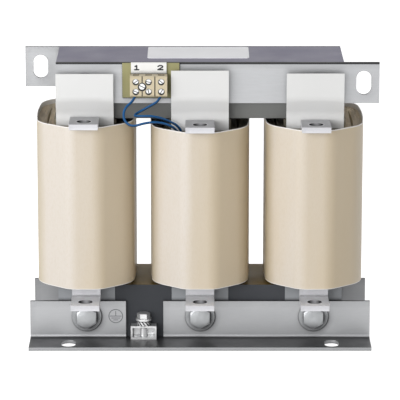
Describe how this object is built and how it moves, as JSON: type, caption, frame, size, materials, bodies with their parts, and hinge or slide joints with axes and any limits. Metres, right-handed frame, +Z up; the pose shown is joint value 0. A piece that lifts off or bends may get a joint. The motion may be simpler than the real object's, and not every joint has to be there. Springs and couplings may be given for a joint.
{
  "type": "power factor correction reactor",
  "caption": "Three-phase iron core reactor with foil coils, air gaps, bar terminals, clamping brackets with feet and lifting tabs, a small terminal block and an earth clamp.",
  "frame": {"origin": "below the middle of the core, on the surface that the feet stand on", "axes": "+X to the right along the core seen from the terminals' side, -Y the way the terminals point, +Z up"},
  "size_m": [0.3114, 0.1545, 0.2505],
  "materials": {
    "core_steel": "varnished lamination stack, satin dark grey",
    "gap_laminate": "glass fibre laminate",
    "bracket_steel": "zinc plated sheet, satin",
    "fastener_steel": "zinc plated",
    "foil": "foil with paper between the turns",
    "tube_board": "pressboard",
    "stick_board": "pressboard sticks",
    "wrap": "cream insulating wrap, satin",
    "terminal_bar": "bright bar, fine satin",
    "shield_sheet": "white insulating sheet, satin",
    "lower_shield_sheet": "grey insulating sheet",
    "backing_sheet": "olive insulating sheet",
    "block_plastic": "beige moulding",
    "marker_plastic": "white marker strip",
    "sleeve_plastic": "insulating sleeve",
    "switch_plastic": "black moulding",
    "lead_insulation": "blue silicone insulation",
    "earth_steel": "zinc plated",
    "rating_film": "plain white plate"
  },
  "bodies": {
    "root": {"upper_yoke": "core_steel", "lower_yoke": "core_steel", "left_limb_packets": "core_steel", "left_gap_spacers": "gap_laminate", "left_limb_tube": "tube_board", "left_inner_winding": "foil", "left_duct_spacers": "stick_board", "left_outer_winding": "foil", "left_outer_wrap": "wrap", "left_upper_terminal": "terminal_bar", "left_lower_terminal": "terminal_bar", "left_upper_shield": "shield_sheet", "left_lower_shield": "lower_shield_sheet", "centre_limb_packets": "core_steel", "centre_gap_spacers": "gap_laminate", "centre_limb_tube": "tube_board", "centre_inner_winding": "foil", "centre_duct_spacers": "stick_board", "centre_outer_winding": "foil", "centre_outer_wrap": "wrap", "centre_upper_terminal": "terminal_bar", "centre_lower_terminal": "terminal_bar", "centre_upper_shield": "shield_sheet", "centre_lower_shield": "lower_shield_sheet", "right_limb_packets": "core_steel", "right_gap_spacers": "gap_laminate", "right_limb_tube": "tube_board", "right_inner_winding": "foil", "right_duct_spacers": "stick_board", "right_outer_winding": "foil", "right_outer_wrap": "wrap", "right_upper_terminal": "terminal_bar", "right_lower_terminal": "terminal_bar", "right_upper_shield": "shield_sheet", "right_lower_shield": "lower_shield_sheet", "front_upper_bracket": "bracket_steel", "back_upper_bracket": "bracket_steel", "front_lower_bracket": "bracket_steel", "back_lower_bracket": "bracket_steel", "clamp_bolts": "fastener_steel", "clamp_nuts": "fastener_steel", "clamp_washers": "fastener_steel", "bolt_sleeves": "sleeve_plastic", "block_backing": "backing_sheet", "terminal_block": "block_plastic", "wire_clamps": "fastener_steel", "clamp_screws": "fastener_steel", "block_screw": "fastener_steel", "marker_strip": "marker_plastic", "thermal_switch": "switch_plastic", "thermal_lead_1": "lead_insulation", "thermal_lead_2": "lead_insulation", "earth_base": "earth_steel", "earth_saddle": "earth_steel", "earth_lock_washer": "earth_steel", "earth_flat_washer": "earth_steel", "earth_screw": "earth_steel", "rating_plate": "rating_film"}
  },
  "joints": []
}
